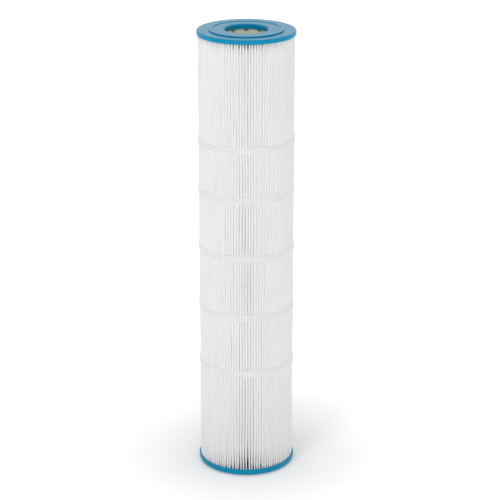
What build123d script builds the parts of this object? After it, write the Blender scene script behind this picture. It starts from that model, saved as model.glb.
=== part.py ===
from build123d import *
import os
from math import asin, atan2, cos, degrees, hypot, pi, radians, sin

# Pleated pool filter cartridge, open at both ends.
# Frame: millimetres, +Z up along the cartridge axis, origin on the axis at the
# face the cartridge stands on. The side seam of the media faces +Y (the back).

# ---------------------------------------------------------------- dimensions
overall_length = 832.0        # over the sealing beads of both end caps (32 3/4 in)

# moulded urethane end caps
cap_radius = 89.0             # 7 in outside diameter
top_cap_rim_thickness = 7.8   # disc thickness at the rim
bottom_cap_rim_thickness = 9.5
cap_edge_radius = 2.6         # rounded corner of the moulded outer face
cap_pleat_edge_radius = 0.6   # corner on the pleat side
port_radius = 38.1            # 3 in port through each cap
port_edge_radius = 3.5
bead_height = 2.0             # raised sealing bead above the rim face
bead_inner_radius = 61.0
bead_outer_radius = 67.5
bead_inner_corner = 0.5
bead_outer_corner = 0.8
land_height = 1.2             # raised land between the port and the bead
cap_floor = 3.0               # urethane between the rim face and the ends of media and core

# perforated core tube, one length of tube from cap to cap
core_inner_radius = 39.5
core_outer_radius = 42.5
core_hole_radius = 4.5
core_hole_columns = 10
core_hole_rows = 28
core_hole_row_pitch = 29.5
core_first_column_angle = 90.0
core_first_row_below_top = 5.5  # centre of the top row, partly inside the cap
core_drill_length = 8.0
core_seam_angle = 9.0         # joint line of the tube wall, midway between hole columns

# pleated media sheet; each wander is the largest variation from pleat to pleat
pleat_count = 104
sheet_thickness = 0.6
pleat_tip_radius = 86.8       # outermost point of the longest pleats
pleat_tip_wander = 0.3
pleat_root_radius = 44.0      # innermost point of the pleats
pleat_root_wander = 0.25
tip_angle_wander = 0.17       # fraction of the pleat pitch
tip_fold_radius = 0.85        # to the middle of the sheet
tip_fold_wander = 0.15
root_fold_radius = 0.5
seam_gap = 0.7                # adhesive between the two ends of the sheet
seam_length = 12.5            # radial length of the bonded seam
seam_tip_setback = 0.5        # seam end inside the pleat tips
bond_setback = 0.5            # adhesive short of each end of the seam
seam_angle = radians(90.0)    # at +Y

# retaining bands
band_stations = [             # height of the middle, angle of the lap in degrees
    (205.8, 96.0),
    (314.6, 78.0),
    (428.3, 108.0),
    (538.1, 84.0),
    (630.7, 101.0),
]
band_width = 12.7
band_clearance = 0.05         # from the longest pleat tips
band_thickness = 0.8
band_rib_height = 0.35
band_rib_width = 2.4
band_rib_slope = 0.5          # width of each sloping side of a rib
band_lap_length = 26.0
band_lap_width = band_width - 0.6
band_lap_sink = 0.1 * band_thickness  # depth of the tail below the web surface

# ------------------------------------------------------------------- derived
top_rim_face = overall_length - bead_height
top_pleat_face = top_rim_face - top_cap_rim_thickness
bottom_rim_face = bead_height
bottom_pleat_face = bottom_rim_face + bottom_cap_rim_thickness
# the media, the seam bond and the core all run between these heights
media_bottom = bottom_rim_face + cap_floor
media_top = top_rim_face - cap_floor
media_length = media_top - media_bottom
seam_outer_radius = pleat_tip_radius - seam_tip_setback
seam_inner_radius = seam_outer_radius - seam_length
band_inner_radius = pleat_tip_radius + band_clearance


# ------------------------------------------------------- pleated sheet outline
# The middle line of the sheet runs in along the seam at its first end, round
# the axis counterclockwise through every fold, and out along the seam again.
# Offsets are positive to the left of this travel.
def wander(k, seed):
    """Smooth repeatable variation between -1 and 1, one value per pleat."""
    return (
        0.5 * sin(k * 2.399 + seed)
        + 0.3 * sin(k * 5.13 + 1.7 * seed)
        + 0.2 * sin(k * 0.61 + 2.3 * seed)
    )


def polar(radius, angle):
    return radius * cos(angle), radius * sin(angle)


def offset_point(point, heading, shift):
    """Point moved by shift to the left of the heading."""
    return point[0] - sin(heading) * shift, point[1] + cos(heading) * shift


def flank_heading(stop, next_stop):
    """Direction of the straight flank between two (centre, signed radius) folds."""
    (x1, y1), bend1 = stop
    (x2, y2), bend2 = next_stop
    dx, dy = x2 - x1, y2 - y1
    return atan2(dy, dx) + asin((bend2 - bend1) / hypot(dx, dy))


def mitre(point, arrive, leave, shift):
    """Offset of a sharp corner between two headings."""
    turn = (leave - arrive + pi) % (2 * pi) - pi
    return offset_point(point, arrive + turn / 2, shift / cos(turn / 2))


def fold_arc(centre, bend, arrive, leave):
    """Three points of a fold; bend is its radius, negative for a left turn."""
    low, high = (leave, arrive) if bend > 0 else (arrive, leave)
    middle = low + (high - low) % (2 * pi) / 2
    return tuple(offset_point(centre, angle, bend) for angle in (arrive, middle, leave))


def pleat_folds():
    """(centre, signed radius) of each fold: roots turn right (+), tips turn left (-)."""
    pitch = 2 * pi / pleat_count
    tip_angles = [seam_angle]
    for k in range(1, pleat_count):
        shift = tip_angle_wander * wander(k, seed=0.4)
        tip_angles.append(seam_angle + pitch * (k + shift))
    tip_angles.append(seam_angle + 2 * pi)

    folds = []
    for k in range(pleat_count):
        if k > 0:  # the seam takes the place of the first tip
            reach = pleat_tip_radius - pleat_tip_wander * (1 - wander(k, seed=2.1))
            fold_radius = tip_fold_radius + tip_fold_wander * wander(k, seed=4.2)
            centre_radius = reach - sheet_thickness / 2 - fold_radius
            folds.append((polar(centre_radius, tip_angles[k]), -fold_radius))
        reach = pleat_root_radius + pleat_root_wander * (1 + wander(k, seed=5.5))
        centre_radius = reach + sheet_thickness / 2 + root_fold_radius
        root_angle = (tip_angles[k] + tip_angles[k + 1]) / 2
        folds.append((polar(centre_radius, root_angle), root_fold_radius))
    return folds


def seam_point(radius, side):
    """Point on the middle of a bonded sheet end, to one side of the seam line."""
    shift = side * (seam_gap + sheet_thickness) / 2
    return offset_point(polar(radius, seam_angle), seam_angle, shift)


def sheet_face(folds, shift):
    """One face of the sheet: two points for each line, three for each arc."""
    first_in = seam_point(seam_inner_radius, 1)
    last_in = seam_point(seam_inner_radius, -1)
    stops = [(first_in, 0)] + folds + [(last_in, 0)]
    headings = [flank_heading(*pair) for pair in zip(stops, stops[1:])]

    inward = seam_angle + pi
    start = offset_point(seam_point(seam_outer_radius, 1), inward, shift)
    end = offset_point(seam_point(seam_outer_radius, -1), seam_angle, shift)
    last = mitre(first_in, inward, headings[0], shift)
    runs = [(start, last)]
    for (centre, bend), arrive, leave in zip(folds, headings, headings[1:]):
        arc = fold_arc(centre, bend + shift, arrive, leave)
        runs += [(last, arc[0]), arc]
        last = arc[-1]
    corner = mitre(last_in, headings[-1], seam_angle, shift)
    return runs + [(last, corner), (corner, end)]


def sheet_outline():
    """Edges of both faces of the sheet and its two ends."""
    folds = pleat_folds()
    outer_face = sheet_face(folds, -sheet_thickness / 2)
    inner_face = sheet_face(folds, sheet_thickness / 2)
    edges = []
    for points in outer_face + inner_face:
        make_edge = Edge.make_line if len(points) == 2 else Edge.make_three_point_arc
        edges.append(make_edge(*points))
    edges.append(Edge.make_line(outer_face[0][0], inner_face[0][0]))
    edges.append(Edge.make_line(outer_face[-1][-1], inner_face[-1][-1]))
    return edges


# ------------------------------------------------------------- media and seam
def make_pleated_media():
    with BuildPart() as media:
        with BuildSketch(Plane.XY.offset(media_bottom)):
            with BuildLine():
                add(sheet_outline())
            make_face()
        extrude(amount=media_length)
    media.part.label = "pleated_media"
    return media.part


def make_side_seam_bond():
    """Strip of adhesive between the two ends of the sheet."""
    with BuildPart() as bond:
        with BuildSketch(Plane.XY.offset(media_bottom)):
            with Locations((0, (seam_outer_radius + seam_inner_radius) / 2)):
                Rectangle(seam_gap, seam_length - 2 * bond_setback)
        extrude(amount=media_length)
    bond.part.label = "side_seam_bond"
    return bond.part


# ------------------------------------------------------------------ core tube
def core_drill_planes():
    """Radial planes in the tube wall, every other row turned by half a column."""
    wall_middle = (core_inner_radius + core_outer_radius) / 2
    column_pitch = 360.0 / core_hole_columns
    planes = []
    for row in range(core_hole_rows):
        z = media_top - core_first_row_below_top - row * core_hole_row_pitch
        stagger = column_pitch / 2 if row % 2 else 0.0
        for column in range(core_hole_columns):
            angle = radians(core_first_column_angle + stagger + column * column_pitch)
            planes.append(
                Plane(
                    origin=(*polar(wall_middle, angle), z),
                    x_dir=(0, 0, 1),
                    z_dir=(*polar(1, angle), 0),
                )
            )
    return planes


def make_core_tube():
    with BuildPart() as core:
        tube_plane = Plane(
            origin=(0, 0, media_bottom),
            x_dir=(*polar(1, radians(core_seam_angle)), 0),
            z_dir=(0, 0, 1),
        )
        with BuildSketch(tube_plane):
            Circle(core_outer_radius)
            Circle(core_inner_radius, mode=Mode.SUBTRACT)
        extrude(amount=media_length)
        with Locations(*core_drill_planes()):
            Cylinder(core_hole_radius, core_drill_length, mode=Mode.SUBTRACT)
    core.part.label = "core_tube"
    return core.part


# -------------------------------------------------------------------- end caps
def draw_rounded_outline(corners):
    """Closed outline of square corners (x, y, rounding); the first one is sharp.

    Called inside a BuildLine block.
    """
    arc_middle = 1 - 0.7071  # 45 degree point of a unit rounding, from either side
    points = [Vector(x, y) for x, y, _ in corners]
    last = points[0]
    for i in range(1, len(corners)):
        point, rounding = points[i], corners[i][2]
        following = points[(i + 1) % len(points)]
        back = (points[i - 1] - point).normalized() * rounding
        ahead = (following - point).normalized() * rounding
        Line(last, point + back)
        if rounding:
            ThreePointArc(point + back, point + (back + ahead) * arc_middle, point + ahead)
        last = point + ahead
    Line(last, points[0])


def make_end_cap(label, rim_face, pleat_face, cast_in):
    """Cap with its moulded face at rim_face, cast round the cast_in pieces."""
    outward = 1 if rim_face > pleat_face else -1
    land_face = rim_face + outward * land_height
    bead_face = rim_face + outward * bead_height
    half_section = [  # radius, height, rounding
        (port_radius, pleat_face, 0),
        (cap_radius, pleat_face, cap_pleat_edge_radius),
        (cap_radius, rim_face, cap_edge_radius),
        (bead_outer_radius, rim_face, 0),
        (bead_outer_radius, bead_face, bead_outer_corner),
        (bead_inner_radius, bead_face, bead_inner_corner),
        (bead_inner_radius, land_face, 0),
        (port_radius, land_face, port_edge_radius),
    ]
    with BuildPart() as cap:
        with BuildSketch(Plane.XZ):
            with BuildLine():
                draw_rounded_outline(half_section)
            make_face()
        revolve(axis=Axis.Z)
        for piece in cast_in:
            add(piece, mode=Mode.SUBTRACT)
    cap.part.label = label
    return cap.part


# ------------------------------------------------------------- retaining bands
def section_plane(height, angle):
    """Upright plane through the axis: local x points outward at angle, local y up."""
    return Plane(
        origin=(0, 0, height),
        x_dir=(cos(angle), sin(angle), 0),
        z_dir=(sin(angle), -cos(angle), 0),
    )


def make_band(label, height, lap_angle):
    """Strap with a flat web, a low rib along each edge and a lapped tail."""
    inner = band_inner_radius
    web = inner + band_thickness
    rib = web + band_rib_height
    edge = band_width / 2
    rib_inside = edge - band_rib_width
    lap_sweep = degrees(band_lap_length / inner)
    lap_start = radians(lap_angle - lap_sweep / 2)
    lap_thickness = band_thickness + band_lap_sink
    lap_middle = web + band_thickness - lap_thickness / 2
    with BuildPart() as band:
        with BuildSketch(section_plane(height, 0)):
            with BuildLine():
                Polyline(
                    (inner, -edge),
                    (web, -edge),
                    (rib, -edge + band_rib_slope),
                    (rib, -rib_inside - band_rib_slope),
                    (web, -rib_inside),
                    (web, rib_inside),
                    (rib, rib_inside + band_rib_slope),
                    (rib, edge - band_rib_slope),
                    (web, edge),
                    (inner, edge),
                    close=True,
                )
            make_face()
        revolve(axis=Axis.Z)
        # the tail of the strap, lapped over its start and welded down
        with BuildSketch(section_plane(height, lap_start)):
            with Locations((lap_middle, 0)):
                Rectangle(lap_thickness, band_lap_width)
        revolve(axis=Axis.Z, revolution_arc=lap_sweep)
    band.part.label = label
    return band.part


# ----------------------------------------------------------- build and export
cast_in = [make_pleated_media(), make_side_seam_bond(), make_core_tube()]
caps = [
    make_end_cap("top_end_cap", top_rim_face, top_pleat_face, cast_in),
    make_end_cap("bottom_end_cap", bottom_rim_face, bottom_pleat_face, cast_in),
]
bands = [
    make_band(f"retaining_band_{number}", height, lap_angle)
    for number, (height, lap_angle) in enumerate(band_stations, 1)
]

os.makedirs("parts", exist_ok=True)
for piece in caps + cast_in + bands:
    export_step(piece, f"parts/{piece.label}.step")
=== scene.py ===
"""Pleated filter cartridge standing on +Z, centred on the Z axis.

The sheet runs in pleats round the core between two cast end caps, with five straps
round it. Its side seam is at +Y; the camera looks from -Y. Lengths are in mm (scaled
by MM) in the sheet and straps, and in metres in the materials, stage and camera.
"""
import math
from math import pi, radians

import bmesh
import bpy
import numpy as np
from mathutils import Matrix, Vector


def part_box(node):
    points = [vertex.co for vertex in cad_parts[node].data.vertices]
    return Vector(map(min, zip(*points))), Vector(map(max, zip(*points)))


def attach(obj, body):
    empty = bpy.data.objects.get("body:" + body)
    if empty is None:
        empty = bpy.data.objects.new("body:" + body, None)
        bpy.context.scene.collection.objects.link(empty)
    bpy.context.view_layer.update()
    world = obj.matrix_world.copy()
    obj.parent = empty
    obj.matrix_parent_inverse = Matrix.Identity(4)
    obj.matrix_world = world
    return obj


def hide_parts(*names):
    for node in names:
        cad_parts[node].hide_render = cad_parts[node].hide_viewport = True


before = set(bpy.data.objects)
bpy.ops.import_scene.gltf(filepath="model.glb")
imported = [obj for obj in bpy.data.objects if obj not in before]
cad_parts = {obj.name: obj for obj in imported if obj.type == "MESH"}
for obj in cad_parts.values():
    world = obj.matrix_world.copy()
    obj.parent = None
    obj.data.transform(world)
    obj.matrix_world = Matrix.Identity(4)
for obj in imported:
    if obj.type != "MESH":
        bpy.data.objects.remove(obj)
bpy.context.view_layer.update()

MM = 0.001

# ------------------------------------------------------------------ dimensions
PLEATS = 104
PITCH = 2 * pi / PLEATS
SHEET = 0.6                           # thickness
TIP_R, ROOT_R = 86.8, 44.0            # outer and inner reach of the pleats
TIP_FOLD, ROOT_FOLD = 0.85, 0.5       # fold radii; the tips' is that in the caps
TIP_FOLD_MIN = 0.5
CLEAR = 0.16                          # least gap between neighbouring folds
ROOM_R = TIP_R - 2.5                  # where the room for a fold is measured

SEAM_GAP, SEAM_LEN = 0.7, 12.5
START = radians(90.0)                 # angle of the seam
SEAM_HALF = SEAM_GAP / 2 + SHEET / 2
SEAM_OUT = TIP_R - 0.5
SEAM_IN = SEAM_OUT - SEAM_LEN

Z_LOW, Z_HIGH = 5.0, 827.0            # ends of the sheet, inside the caps
FACE_LOW, FACE_HIGH = 11.5, 822.2     # where it leaves the urethane
CAP_LEVELS = {16.0, 22.0, 29.0, 38.0, 54.0, 790.0, 804.0, 811.0, 816.0}
STRAP_LEVELS = (-15, -6, 6, 15)       # from the middle of each strap
LEVEL_COUNT = 41

BAND_IN, BAND_T, BAND_W = 86.85, 0.8, 12.7   # inner radius, thickness, width
LAP_LEN = 26.0
# one row per strap, lowest number first: angle of the lap in degrees, tilt in mm,
# angle about which the tilt swings in radians
BANDS = [
    (96.0, 0.4, 1.0),
    (78.0, -0.5, 0.4),
    (108.0, 0.5, 2.2),
    (84.0, -0.4, 1.5),
    (101.0, 1.6, -pi / 2),
]


def band_height(number):
    low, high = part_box(f"retaining_band_{number}")
    return (low.z + high.z) / 2 / MM


BAND_Z = [band_height(number) for number in range(1, len(BANDS) + 1)]


# --------------------------------------------------------------------- helpers
# size, step per pleat and seed factor of each wave in wander()
WANDER_WAVES = [(0.5, 2.399, 1.0), (0.3, 5.13, 1.7), (0.2, 0.61, 2.3)]


def wander(index, seed):
    """An irregular value between -1 and 1 for each pleat."""
    return sum(size * np.sin(index * step + factor * seed) for size, step, factor in WANDER_WAVES)


def smooth(x):
    x = np.clip(x, 0.0, 1.0)
    return x * x * (3 - 2 * x)


def polar(radius, angle):
    return np.stack([radius * np.cos(angle), radius * np.sin(angle)], -1)


def left_of(angle):
    """Unit vector to the left of a heading."""
    return np.stack([-np.sin(angle), np.cos(angle)], -1)


def heading(start, start_radius, end, end_radius, outward):
    """Heading of the straight flank that touches the folds round two centres."""
    line = end - start
    swing = np.arcsin((start_radius + end_radius) / np.hypot(line[..., 0], line[..., 1]))
    angle = np.arctan2(line[..., 1], line[..., 0])
    return angle - swing if outward else angle + swing


def new_mesh(name, verts, faces, sharp=75):
    mesh = bpy.data.meshes.new(name)
    mesh.from_pydata([tuple(v) for v in verts], [], faces)
    mesh.validate()
    mesh.shade_smooth()
    mesh.set_sharp_from_angle(angle=radians(sharp))
    ob = bpy.data.objects.new(name, mesh)
    bpy.context.scene.collection.objects.link(ob)
    return ob


def face_outward(ob):
    """Turns the faces so that a closed mesh has a positive volume."""
    bm = bmesh.new()
    bm.from_mesh(ob.data)
    if bm.calc_volume(signed=True) < 0:
        bmesh.ops.reverse_faces(bm, faces=bm.faces)
    bm.to_mesh(ob.data)
    bm.free()


# ------------------------------------------------------- how the pleats vary
# Tips are numbered from 1, counter-clockwise from the seam; roots lie between them.
tip = np.arange(1, PLEATS)
capped_angle = START + PITCH * (tip + 0.17 * wander(tip, seed=0.4))
even_angle = START + PITCH * tip
full_reach = TIP_R - 0.3 + 0.3 * wander(tip, seed=2.1)
capped_fold = TIP_FOLD + 0.15 * wander(tip, seed=4.2)
root_centre_r = (ROOT_R + 0.25 + 0.25 * wander(np.arange(PLEATS), seed=5.5)
                 + SHEET / 2 + ROOT_FOLD)

# straying fades out over the four pleats on each side of the seam
fade = smooth(np.minimum(tip, PLEATS - tip) / 4.0)
# the folds facing -Y stand evenly, with slightly wider gaps
from_front = tip - PLEATS // 2
facing = np.exp(-((from_front / 3.5) ** 2))
wish_fold = (2.20 + 0.12 * wander(tip, seed=1.3) * (1 - 0.7 * facing) - 0.33 * facing
             + 0.20 * np.exp(-((from_front / 0.8) ** 2)))
# shift towards the seam, in pitches, dying away over eight pleats
seam_pull = 0.20 * (np.exp(-(tip - 1) / 8.0) - np.exp(-(PLEATS - tip - 1) / 8.0))

# each pleat's own waves along its length; wavelengths are drawn in mm
rng = np.random.RandomState(7)
slow_wave = 2 * pi / rng.uniform(240, 520, PLEATS - 1)
quick_wave = 2 * pi / rng.uniform(110, 190, PLEATS - 1)
# the fourth row only keeps the later draws in step
slow_phase, quick_phase, reach_phase, _ = rng.uniform(0, 2 * pi, (4, PLEATS - 1))
# row 0: flanks running inward, row 1: flanks running outward
bow_phase = rng.uniform(0, 2 * pi, (2, PLEATS))
bow_wave = 2 * pi / rng.uniform(150, 420, (2, PLEATS))
rise = rng.uniform(0.7, 1.35, PLEATS - 1)   # how slowly each fold fills out


def freedom(z):
    """How free the pleats are at a height: nothing in the caps, little at a strap."""
    cap_reach, strap_reach, strap_grip = 45.0, 13.0, 0.8
    free = smooth((z - FACE_LOW) / cap_reach) * smooth((FACE_HIGH - z) / cap_reach)
    for band_z in BAND_Z:
        free *= 1 - strap_grip * math.exp(-(((z - band_z) / strap_reach) ** 2))
    return free


def fullness(z):
    """0 where a fold is pinched by the urethane, 1 where it has filled out."""
    low_reach, high_reach = 44.0, 16.0
    low = smooth((z - FACE_LOW) / (low_reach * rise)) ** 1.4
    high = smooth((FACE_HIGH - z) / (high_reach * rise))
    return low * high


def tip_folds(z):
    """Angle, centre radius and fold radius of every tip at a height."""
    full = fullness(z)
    stray = freedom(z) * fade
    # angles stray in pitches: each pleat by itself, and together with its neighbours
    own = (0.036 * np.sin(slow_wave * z + slow_phase)
           + 0.02 * np.sin(quick_wave * z + quick_phase)) * (1 - 0.5 * facing)
    shared = 0.16 * np.sin(0.33 * tip + z / 95.0 + 0.8) * np.sin(z / 140.0 + 1.1)
    evening = (0.78 + 0.17 * facing) * full
    angle = (capped_angle + evening * (even_angle - capped_angle)
             + PITCH * stray * (own + shared) - full * PITCH * seam_pull)
    reach = full_reach - stray * (0.28 + 0.28 * np.sin(slow_wave * z * 1.3 + reach_phase))

    # a fold may fill its share of the room between its neighbours, no more
    bond = (SEAM_HALF + SHEET / 2 + CLEAR / 2) / ROOM_R
    gaps = np.diff(np.concatenate([[2 * (START + bond) - angle[0]], angle,
                                   [2 * (START + 2 * pi - bond) - angle[-1]]]))
    room = np.minimum(gaps[:-1], gaps[1:]) * ROOM_R / 2
    most = room - SHEET / 2 - CLEAR / 2
    wished = capped_fold + full * (wish_fold - capped_fold)
    fold = np.where(full > 0, np.maximum(np.minimum(wished, most), TIP_FOLD_MIN), capped_fold)
    return angle, reach - SHEET / 2 - fold, fold


def section(z):
    """The sheet's centre line at a height, and its offset per mm to the left."""
    free = freedom(z)
    tip_angle, tip_radius, tip_fold = tip_folds(z)
    tips = polar(tip_radius, tip_angle)
    # each root stays midway between its two tips, so no flank leans on the next
    line = np.concatenate([[START], tip_angle, [START + 2 * pi]])
    roots = polar(root_centre_r, (line[:-1] + line[1:]) / 2)

    radial, across = polar(1.0, START), left_of(START) * SEAM_HALF
    first_in, last_in = radial * SEAM_IN + across, radial * SEAM_IN - across
    inward = heading(np.vstack([first_in, tips]), np.append(0, tip_fold),
                     roots, ROOT_FOLD, outward=False)
    outward = heading(roots, ROOT_FOLD, np.vstack([tips, last_in]),
                      np.append(tip_fold, 0), outward=True)
    points, headings, scales = [], [], []

    def put(point, angle, scale=1.0):
        points.append(point)
        headings.append(angle)
        scales.append(scale)

    def mitre(point, before, after):
        turn = (after - before + pi) % (2 * pi) - pi
        put(point, before + turn / 2, 1 / math.cos(turn / 2))

    def flank(end, angle, row, k):
        """The slightly bowed middle of the flank from the last point to end."""
        bow = (0.10 * free * fade[max(k - 1, 0)]
               * math.sin(bow_wave[row, k] * z + bow_phase[row, k]))
        put(points[-1] * 0.5 + end * 0.5 + left_of(angle) * bow, angle)

    def fold(centre, offset, start, turn, count):
        for t in np.linspace(0, 1, count):
            angle = start + turn * t
            put(centre + left_of(angle) * offset, angle)

    put(radial * SEAM_OUT + across, START + pi)
    mitre(first_in, START + pi, inward[0])
    for k in range(PLEATS):
        arrive, leave = inward[k], outward[k]
        flank(roots[k] + left_of(arrive) * ROOT_FOLD, arrive, 0, k)
        fold(roots[k], ROOT_FOLD, arrive, -((arrive - leave) % (2 * pi)), count=4)
        if k < PLEATS - 1:
            flank(tips[k] - left_of(leave) * tip_fold[k], leave, 1, k)
            turn = (inward[k + 1] - leave) % (2 * pi)
            fold(tips[k], -tip_fold[k], leave, turn, count=5)
    mitre(last_in, outward[-1], START)
    put(radial * SEAM_OUT - across, START)
    return np.array(points), left_of(np.array(headings)) * np.array(scales)[:, None]


# --------------------------------------------------------------- pleated media
def sheet_levels():
    """Heights of the sections: close at caps and straps, the widest gaps halved."""
    levels = {Z_LOW, FACE_LOW, FACE_HIGH, Z_HIGH} | CAP_LEVELS
    levels |= {band_z + step for band_z in BAND_Z for step in STRAP_LEVELS}
    levels = sorted(levels)
    while len(levels) < LEVEL_COUNT:
        _, below, above = max((b - a, a, b) for a, b in zip(levels, levels[1:]))
        levels = sorted(levels + [(below + above) / 2])
    return levels


def build_media():
    levels = sheet_levels()
    verts = []
    for z in levels:
        points, offset = section(z)
        for amount in (-SHEET / 2, SHEET / 2):
            verts += [(x, y, z * MM) for x, y in (points + offset * amount) * MM]
    count = len(points)
    faces = []
    # right and left skins, a level at a time, then the two long edges
    for level in range(len(levels) - 1):
        right = 2 * count * level
        left = right + count
        right_up, left_up = right + 2 * count, left + 2 * count
        for i in range(count - 1):
            faces.append((right + i, right + i + 1, right_up + i + 1, right_up + i))
            faces.append((left + i + 1, left + i, left_up + i, left_up + i + 1))
        end = count - 1
        faces.append((left, right, right_up, left_up))
        faces.append((right + end, left + end, left_up + end, right_up + end))
    top = 2 * count * (len(levels) - 1)
    for i in range(count - 1):
        faces.append((i + 1, i, count + i, count + i + 1))
        faces.append((top + i, top + i + 1, top + count + i + 1, top + count + i))
    ob = new_mesh("pleated_sheet", verts, faces)
    face_outward(ob)
    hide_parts("pleated_media")
    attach(ob, "root")
    return ob


# ---------------------------------------------------------------------- straps
HALF_W = BAND_W / 2
# rib along each edge: distance in from the edge, height above the web
RIB = [(0.0, -0.62), (0.4, -0.32), (0.9, 0.04), (1.4, 0.26), (2.0, 0.24), (2.6, 0.04)]
STRAP_PROFILE = ([(inset - HALF_W, rise_) for inset, rise_ in RIB]
                 + [(across, 0.0) for across in (-2.4, 0.0, 2.4)]
                 + [(HALF_W - inset, rise_) for inset, rise_ in reversed(RIB)])
LAP = LAP_LEN / BAND_IN               # angle the tail covers
LAP_STEP = 0.006                      # angle over which the lap rises
TAIL_LIFT, MOST_RISE = 0.45, 0.9
WELDS = (0.28, 0.72)                  # places along the lap
WELD_DEPTH, WELD_LENGTH, WELD_HALF_W = 0.22, 0.9, 4.2


def lap_lift(angle, across):
    """Rise of the lapped tail, with two rows of weld marks; angle from its start."""
    inside = smooth(angle / LAP_STEP) * smooth((LAP - angle) / LAP_STEP)
    lift = TAIL_LIFT * inside * smooth((HALF_W - 0.35 - abs(across)) / 0.5)
    if abs(across) < WELD_HALF_W:
        press = sum(math.exp(-(((angle - LAP * place) * BAND_IN / WELD_LENGTH) ** 2))
                    for place in WELDS)
        lift -= WELD_DEPTH * inside * press
    return lift


def build_strap(number, height, lap_at, tilt, tilt_at):
    """A welded strap: flat web, a rounded rib along each edge, its tail lapped over."""
    phase = np.random.RandomState(19 + number).uniform(0, 2 * pi, 3)
    start = radians(lap_at) - LAP / 2
    tail = np.linspace(start - LAP_STEP, start + LAP + LAP_STEP, 84)
    ring = np.linspace(start + LAP + 2 * LAP_STEP, start + 2 * pi - 2 * LAP_STEP, 330)
    angles = np.concatenate([tail, ring])
    verts = []
    for angle in angles:
        wave = 0.18 * math.sin(2 * angle + phase[0]) + 0.10 * math.sin(5 * angle + phase[1])
        middle = height + tilt * math.sin(angle - tilt_at) + wave
        loop = [(BAND_IN + BAND_T + min(above + lap_lift(angle - start, across), MOST_RISE),
                 across) for across, above in STRAP_PROFILE]
        loop += [(BAND_IN, HALF_W), (BAND_IN, -HALF_W)]
        verts += [(radius * math.cos(angle) * MM, radius * math.sin(angle) * MM,
                   (middle + across) * MM) for radius, across in loop]
    m, n = len(STRAP_PROFILE) + 2, len(angles)
    faces = [(i * m + j, ((i + 1) % n) * m + j,
              ((i + 1) % n) * m + (j + 1) % m, i * m + (j + 1) % m)
             for i in range(n) for j in range(m)]
    ob = new_mesh(f"strap_{number}", verts, faces, sharp=50)
    face_outward(ob)
    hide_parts(f"retaining_band_{number}")
    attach(ob, "root")
    return ob


media = build_media()
straps = [build_strap(number, height, *band)
          for number, (height, band) in enumerate(zip(BAND_Z, BANDS), start=1)]


# ------------------------------------------------------------------- materials
class Nodes:
    """Small helper for building a node tree."""

    def __init__(self, tree):
        self.tree = tree

    def new(self, kind, **values):
        node = self.tree.nodes.new(kind)
        for key, value in values.items():
            setattr(node, key, value)
        return node

    def feed(self, node, values):
        """Links or sets the inputs of a node, given as {input: value}."""
        for key, value in values.items():
            if isinstance(value, bpy.types.NodeSocket):
                self.tree.links.new(value, node.inputs[key])
            else:
                node.inputs[key].default_value = value

    def split(self, vector):
        node = self.new("ShaderNodeSeparateXYZ")
        self.feed(node, {0: vector})
        return node.outputs

    def math(self, op, *values, clamp=False):
        node = self.new("ShaderNodeMath", operation=op, use_clamp=clamp)
        self.feed(node, dict(enumerate(values)))
        return node.outputs[0]

    def span(self, value, over=(0.3, 0.7), to=(0, 1)):
        """Maps one range to another; the default takes in most of a noise."""
        node = self.new("ShaderNodeMapRange", clamp=True)
        self.feed(node, dict(enumerate((value, *over, *to))))
        return node.outputs[0]

    def mix_value(self, factor, a, b):
        node = self.new("ShaderNodeMix")
        self.feed(node, {0: factor, 2: a, 3: b})
        return node.outputs[0]

    def mix(self, factor, a, b):
        """Mixes two colours, each an RGB tuple or a socket."""
        a, b = ((*c, 1) if isinstance(c, tuple) else c for c in (a, b))
        node = self.new("ShaderNodeMix", data_type="RGBA")
        self.feed(node, {0: factor, 6: a, 7: b})
        return node.outputs[2]


class Material(Nodes):
    def __init__(self, name):
        self.mat = bpy.data.materials.new(name)
        self.mat.use_nodes = True
        super().__init__(self.mat.node_tree)
        self.bsdf = self.tree.nodes["Principled BSDF"]
        self.place = self.new("ShaderNodeTexCoord").outputs["Object"]

    def xyz(self):
        return self.split(self.place)

    def radius(self, x, y):
        squares = self.math("ADD", self.math("MULTIPLY", x, x), self.math("MULTIPLY", y, y))
        return self.math("SQRT", squares)

    def noise(self, scale, detail=4.0, rough=0.55, stretch=(1, 1, 1)):
        mapping = self.new("ShaderNodeMapping")
        self.feed(mapping, {"Vector": self.place, "Scale": stretch})
        node = self.new("ShaderNodeTexNoise")
        self.feed(node, {"Vector": mapping.outputs[0], "Scale": scale,
                         "Detail": detail, "Roughness": rough})
        return node.outputs["Fac"]

    def surface(self, values):
        self.feed(self.bsdf, values)

    def translucent(self, weight, depth):
        self.surface({"Subsurface Weight": weight, "Subsurface Radius": (1.0, 1.0, 1.0),
                      "Subsurface Scale": depth})

    def bump(self, height, strength, distance):
        node = self.new("ShaderNodeBump")
        self.feed(node, {"Height": height, "Strength": strength, "Distance": distance})
        self.surface({"Normal": node.outputs[0]})


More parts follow.
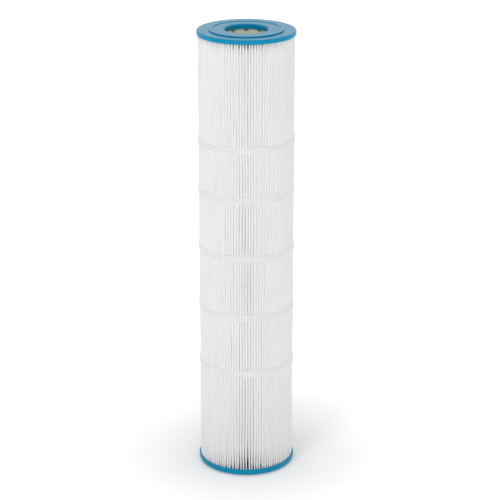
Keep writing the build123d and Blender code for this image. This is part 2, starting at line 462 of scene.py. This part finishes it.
def sheet_material():
    m = Material("spunbonded_sheet")
    cloud = m.noise(scale=70, detail=5, rough=0.6)
    along = m.noise(scale=260, detail=6, rough=0.7, stretch=(1, 1, 0.22))
    around = m.noise(scale=420, detail=4, rough=0.65, stretch=(1, 1, 2.6))
    fibres = m.math("ADD", m.math("MULTIPLY", along, 0.6), m.math("MULTIPLY", around, 0.4))
    fleece = m.mix(m.span(cloud), (0.925, 0.93, 0.933), (0.94, 0.943, 0.946))
    fleece = m.mix(m.span(fibres, over=(0.42, 0.62), to=(0, 0.35)), fleece, (0.95, 0.955, 0.958))
    # blue painted a few millimetres up the sheet from each cap face: a thin line at the tips
    # where the urethane meets the sheet, and in the valleys, where it reaches furthest, painted
    # shade for the dark blue seen deep between the pleats
    x, y, z = m.xyz()
    uneven = m.span(m.noise(scale=120, detail=2, rough=0.5), to=(0.6, 1.2))
    valley = m.span(m.radius(x, y), over=(TIP_R * MM - 0.011, TIP_R * MM - 0.0016),
                    to=(0.0090, 0.0))
    low = m.math("MULTIPLY", valley, uneven)
    high = m.math("MULTIPLY", low, 0.3)
    over = m.math("SUBTRACT", m.math("SUBTRACT", z, FACE_LOW * MM), low)
    under = m.math("SUBTRACT", m.math("SUBTRACT", FACE_HIGH * MM, z), high)
    # mask of the urethane line at the tips and the painted valley shade above and below the caps
    urethane_line_and_shade = m.span(m.math("MINIMUM", over, under), over=(-0.0006, 0.0006), to=(0.75, 0.0))
    m.surface({"Base Color": m.mix(urethane_line_and_shade, fleece, (0.001, 0.22, 0.40)),
               "Roughness": m.span(fibres, to=(0.72, 0.92)),
               "Specular IOR Level": 0.25,
               "Sheen Weight": 0.05})
    # the fleece lets light through, so the valleys are pale
    m.translucent(weight=0.55, depth=0.002)
    m.bump(fibres, strength=0.25, distance=0.0004)
    return m.mat


def urethane_material():
    m = Material("cast_urethane")
    x, y, _ = m.xyz()
    r = m.radius(x, y)
    # the ends of the pleats just show through the thin outer annulus and the rim
    stripe = m.math("SINE", m.math("MULTIPLY", m.math("ARCTAN2", y, x), float(PLEATS)))
    annulus = m.math("MULTIPLY", m.span(r, over=(0.0680, 0.0700)),
                     m.span(r, over=(0.0850, 0.0870), to=(1, 0)))
    rim = m.span(r, over=(0.0878, 0.0886), to=(0, 0.8))
    patchy = m.span(m.noise(scale=24, detail=3), over=(0.35, 0.6), to=(0.35, 1))
    where = m.math("ADD", m.math("MULTIPLY", annulus, patchy), rim, clamp=True)
    ghost = m.math("MULTIPLY", where, m.span(stripe, over=(-0.2, 0.9)))
    cloud = m.noise(scale=38, detail=5, rough=0.6)
    fine = m.noise(scale=900, detail=3, rough=0.6)
    blue = m.mix(m.span(cloud), (0.0006, 0.235, 0.43), (0.0015, 0.277, 0.487))
    rough = m.math("ADD", m.span(cloud, to=(0.13, 0.22)), m.math("MULTIPLY", fine, 0.06))
    m.surface({"Base Color": m.mix(m.math("MULTIPLY", ghost, 0.20), blue, (0.012, 0.42, 0.66)),
               "Roughness": rough,
               "IOR": 1.5,
               "Specular IOR Level": 0.11})
    relief = m.math("ADD", m.math("MULTIPLY", cloud, 0.7), m.math("MULTIPLY", fine, 0.3))
    m.bump(relief, strength=0.12, distance=0.0004)
    return m.mat


def strap_material():
    m = Material("strap_plastic")
    cloud = m.noise(scale=55, detail=4, rough=0.5)
    drawn = m.noise(scale=500, detail=3, rough=0.6, stretch=(0.3, 0.3, 1))
    white = m.mix(m.span(cloud), (0.715, 0.72, 0.725), (0.75, 0.755, 0.76))
    # painted shade: darker stripes over the gaps between the folds behind the strap, as if their
    # shade showed through the thin film
    x, y, _ = m.xyz()
    from_seam = m.math("SUBTRACT", m.math("ARCTAN2", y, x), START)
    turn = m.math("MULTIPLY", from_seam, float(PLEATS))
    # mask of the painted shade stripes, one per pleat gap
    painted_gap_shade = m.span(m.math("COSINE", turn), over=(-1.0, -0.2), to=(0.45, 0.0))
    m.surface({"Base Color": m.mix(painted_gap_shade, white, (0.56, 0.57, 0.58)),
               "Roughness": m.span(drawn, to=(0.30, 0.44))})
    m.translucent(weight=0.3, depth=0.003)
    m.bump(drawn, strength=0.12, distance=0.0003)
    return m.mat


def core_material():
    m = Material("core_plastic")
    cloud = m.noise(scale=30, detail=4, rough=0.5)
    drawn = m.noise(scale=160, detail=4, rough=0.6, stretch=(1, 1, 0.05))
    cream = m.mix(m.span(cloud), (0.80, 0.80, 0.64), (0.86, 0.86, 0.72))
    streak = m.span(drawn, over=(0.4, 0.7), to=(0, 0.25))
    m.surface({"Base Color": m.mix(streak, cream, (0.72, 0.71, 0.58)),
               "Roughness": m.span(drawn, to=(0.42, 0.6))})
    m.bump(drawn, strength=0.15, distance=0.0003)
    return m.mat


def adhesive_material():
    m = Material("seam_adhesive")
    blob = m.noise(scale=180, detail=4, rough=0.5)
    m.surface({"Base Color": m.mix(m.span(blob, over=(0.35, 0.65)),
                                   (0.74, 0.71, 0.6), (0.82, 0.8, 0.7)),
               "Roughness": m.span(blob, to=(0.35, 0.55))})
    m.bump(blob, strength=0.3, distance=0.0005)
    return m.mat


def floor_material():
    m = Material("studio_floor")
    grey = m.mix(m.noise(scale=3, detail=3, rough=0.5), (0.90, 0.90, 0.90), (0.92, 0.92, 0.92))
    x, y, _ = m.xyz()
    # the floor glows evenly white a little way from the object
    glow = m.span(m.radius(x, y), over=(0.12, 0.44), to=(0.172, 0.60))
    m.surface({"Base Color": grey,
               "Roughness": 0.9,
               "Specular IOR Level": 0.1,
               "Emission Color": (1, 1, 1, 1),
               "Emission Strength": glow})
    return m.mat


def give(ob, mat):
    if ob.material_slots:
        for slot in ob.material_slots:
            slot.material = mat
    else:
        ob.data.materials.append(mat)


urethane = urethane_material()
give(media, sheet_material())
strap_plastic = strap_material()
for strap in straps:
    give(strap, strap_plastic)
    # a thin film: it does not keep light off the folds beside it
    strap.visible_shadow = False
    strap.visible_diffuse = False
for name in ("top_end_cap", "bottom_end_cap"):
    give(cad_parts[name], urethane)
give(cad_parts["core_tube"], core_material())
give(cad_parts["side_seam_bond"], adhesive_material())


# ----------------------------------------------------------------------- stage
def build_floor(half_size=6, n=64):
    """A flat square grid with n points a side."""
    steps = np.linspace(-half_size, half_size, n)
    verts = [(x, y, 0.0) for y in steps for x in steps]
    faces = [(j * n + i, j * n + i + 1, (j + 1) * n + i + 1, (j + 1) * n + i)
             for j in range(n - 1) for i in range(n - 1)]
    ob = new_mesh("studio_floor", verts, faces)
    give(ob, floor_material())


def build_world():
    """White to the camera; the room behind the camera is dimmer in reflections."""
    world = bpy.data.worlds.new("studio")
    bpy.context.scene.world = world
    world.use_nodes = True
    w = Nodes(world.node_tree)
    ray = w.new("ShaderNodeLightPath").outputs
    _, y, _ = w.split(w.new("ShaderNodeTexCoord").outputs["Generated"])
    reflected = w.span(y, over=(-0.9, 0.1), to=(0.12, 1.15))
    unseen = w.mix_value(ray["Is Glossy Ray"], 0.57, reflected)
    strength = w.mix_value(ray["Is Camera Ray"], unseen, 1.0)
    w.feed(w.tree.nodes["Background"], {"Color": (1, 1, 1, 1), "Strength": strength})


def area_light(name, place, target, size, power):
    light = bpy.data.lights.new(name, "AREA")
    light.shape = "DISK"
    light.size = size
    light.energy = power
    ob = bpy.data.objects.new(name, light)
    ob.location = place
    aim = Vector(target) - Vector(place)
    ob.rotation_euler = aim.to_track_quat("-Z", "Y").to_euler()
    bpy.context.scene.collection.objects.link(ob)


def build_camera():
    """A long lens at -Y, looking down on the cartridge."""
    camera = bpy.data.cameras.new("camera")
    camera.sensor_width = 36.0
    camera.lens = 134.352
    camera.shift_x = 0.0073
    camera.clip_end = 50
    ob = bpy.data.objects.new("camera", camera)
    ob.location = (0, -3.239, 1.556)
    look_down = 19.38
    ob.rotation_euler = (radians(90 - look_down), 0, 0)
    bpy.context.scene.collection.objects.link(ob)
    bpy.context.scene.camera = ob


build_floor()
build_world()
area_light("key", place=(-0.75, -1.40, 3.1), target=(0, 0, 0.2), size=0.7, power=15.5)
area_light("fill", place=(0.25, -3.6, 2.0), target=(0, 0, 0.4), size=1.4, power=15)
build_camera()
bpy.context.scene.view_settings.view_transform = "Standard"
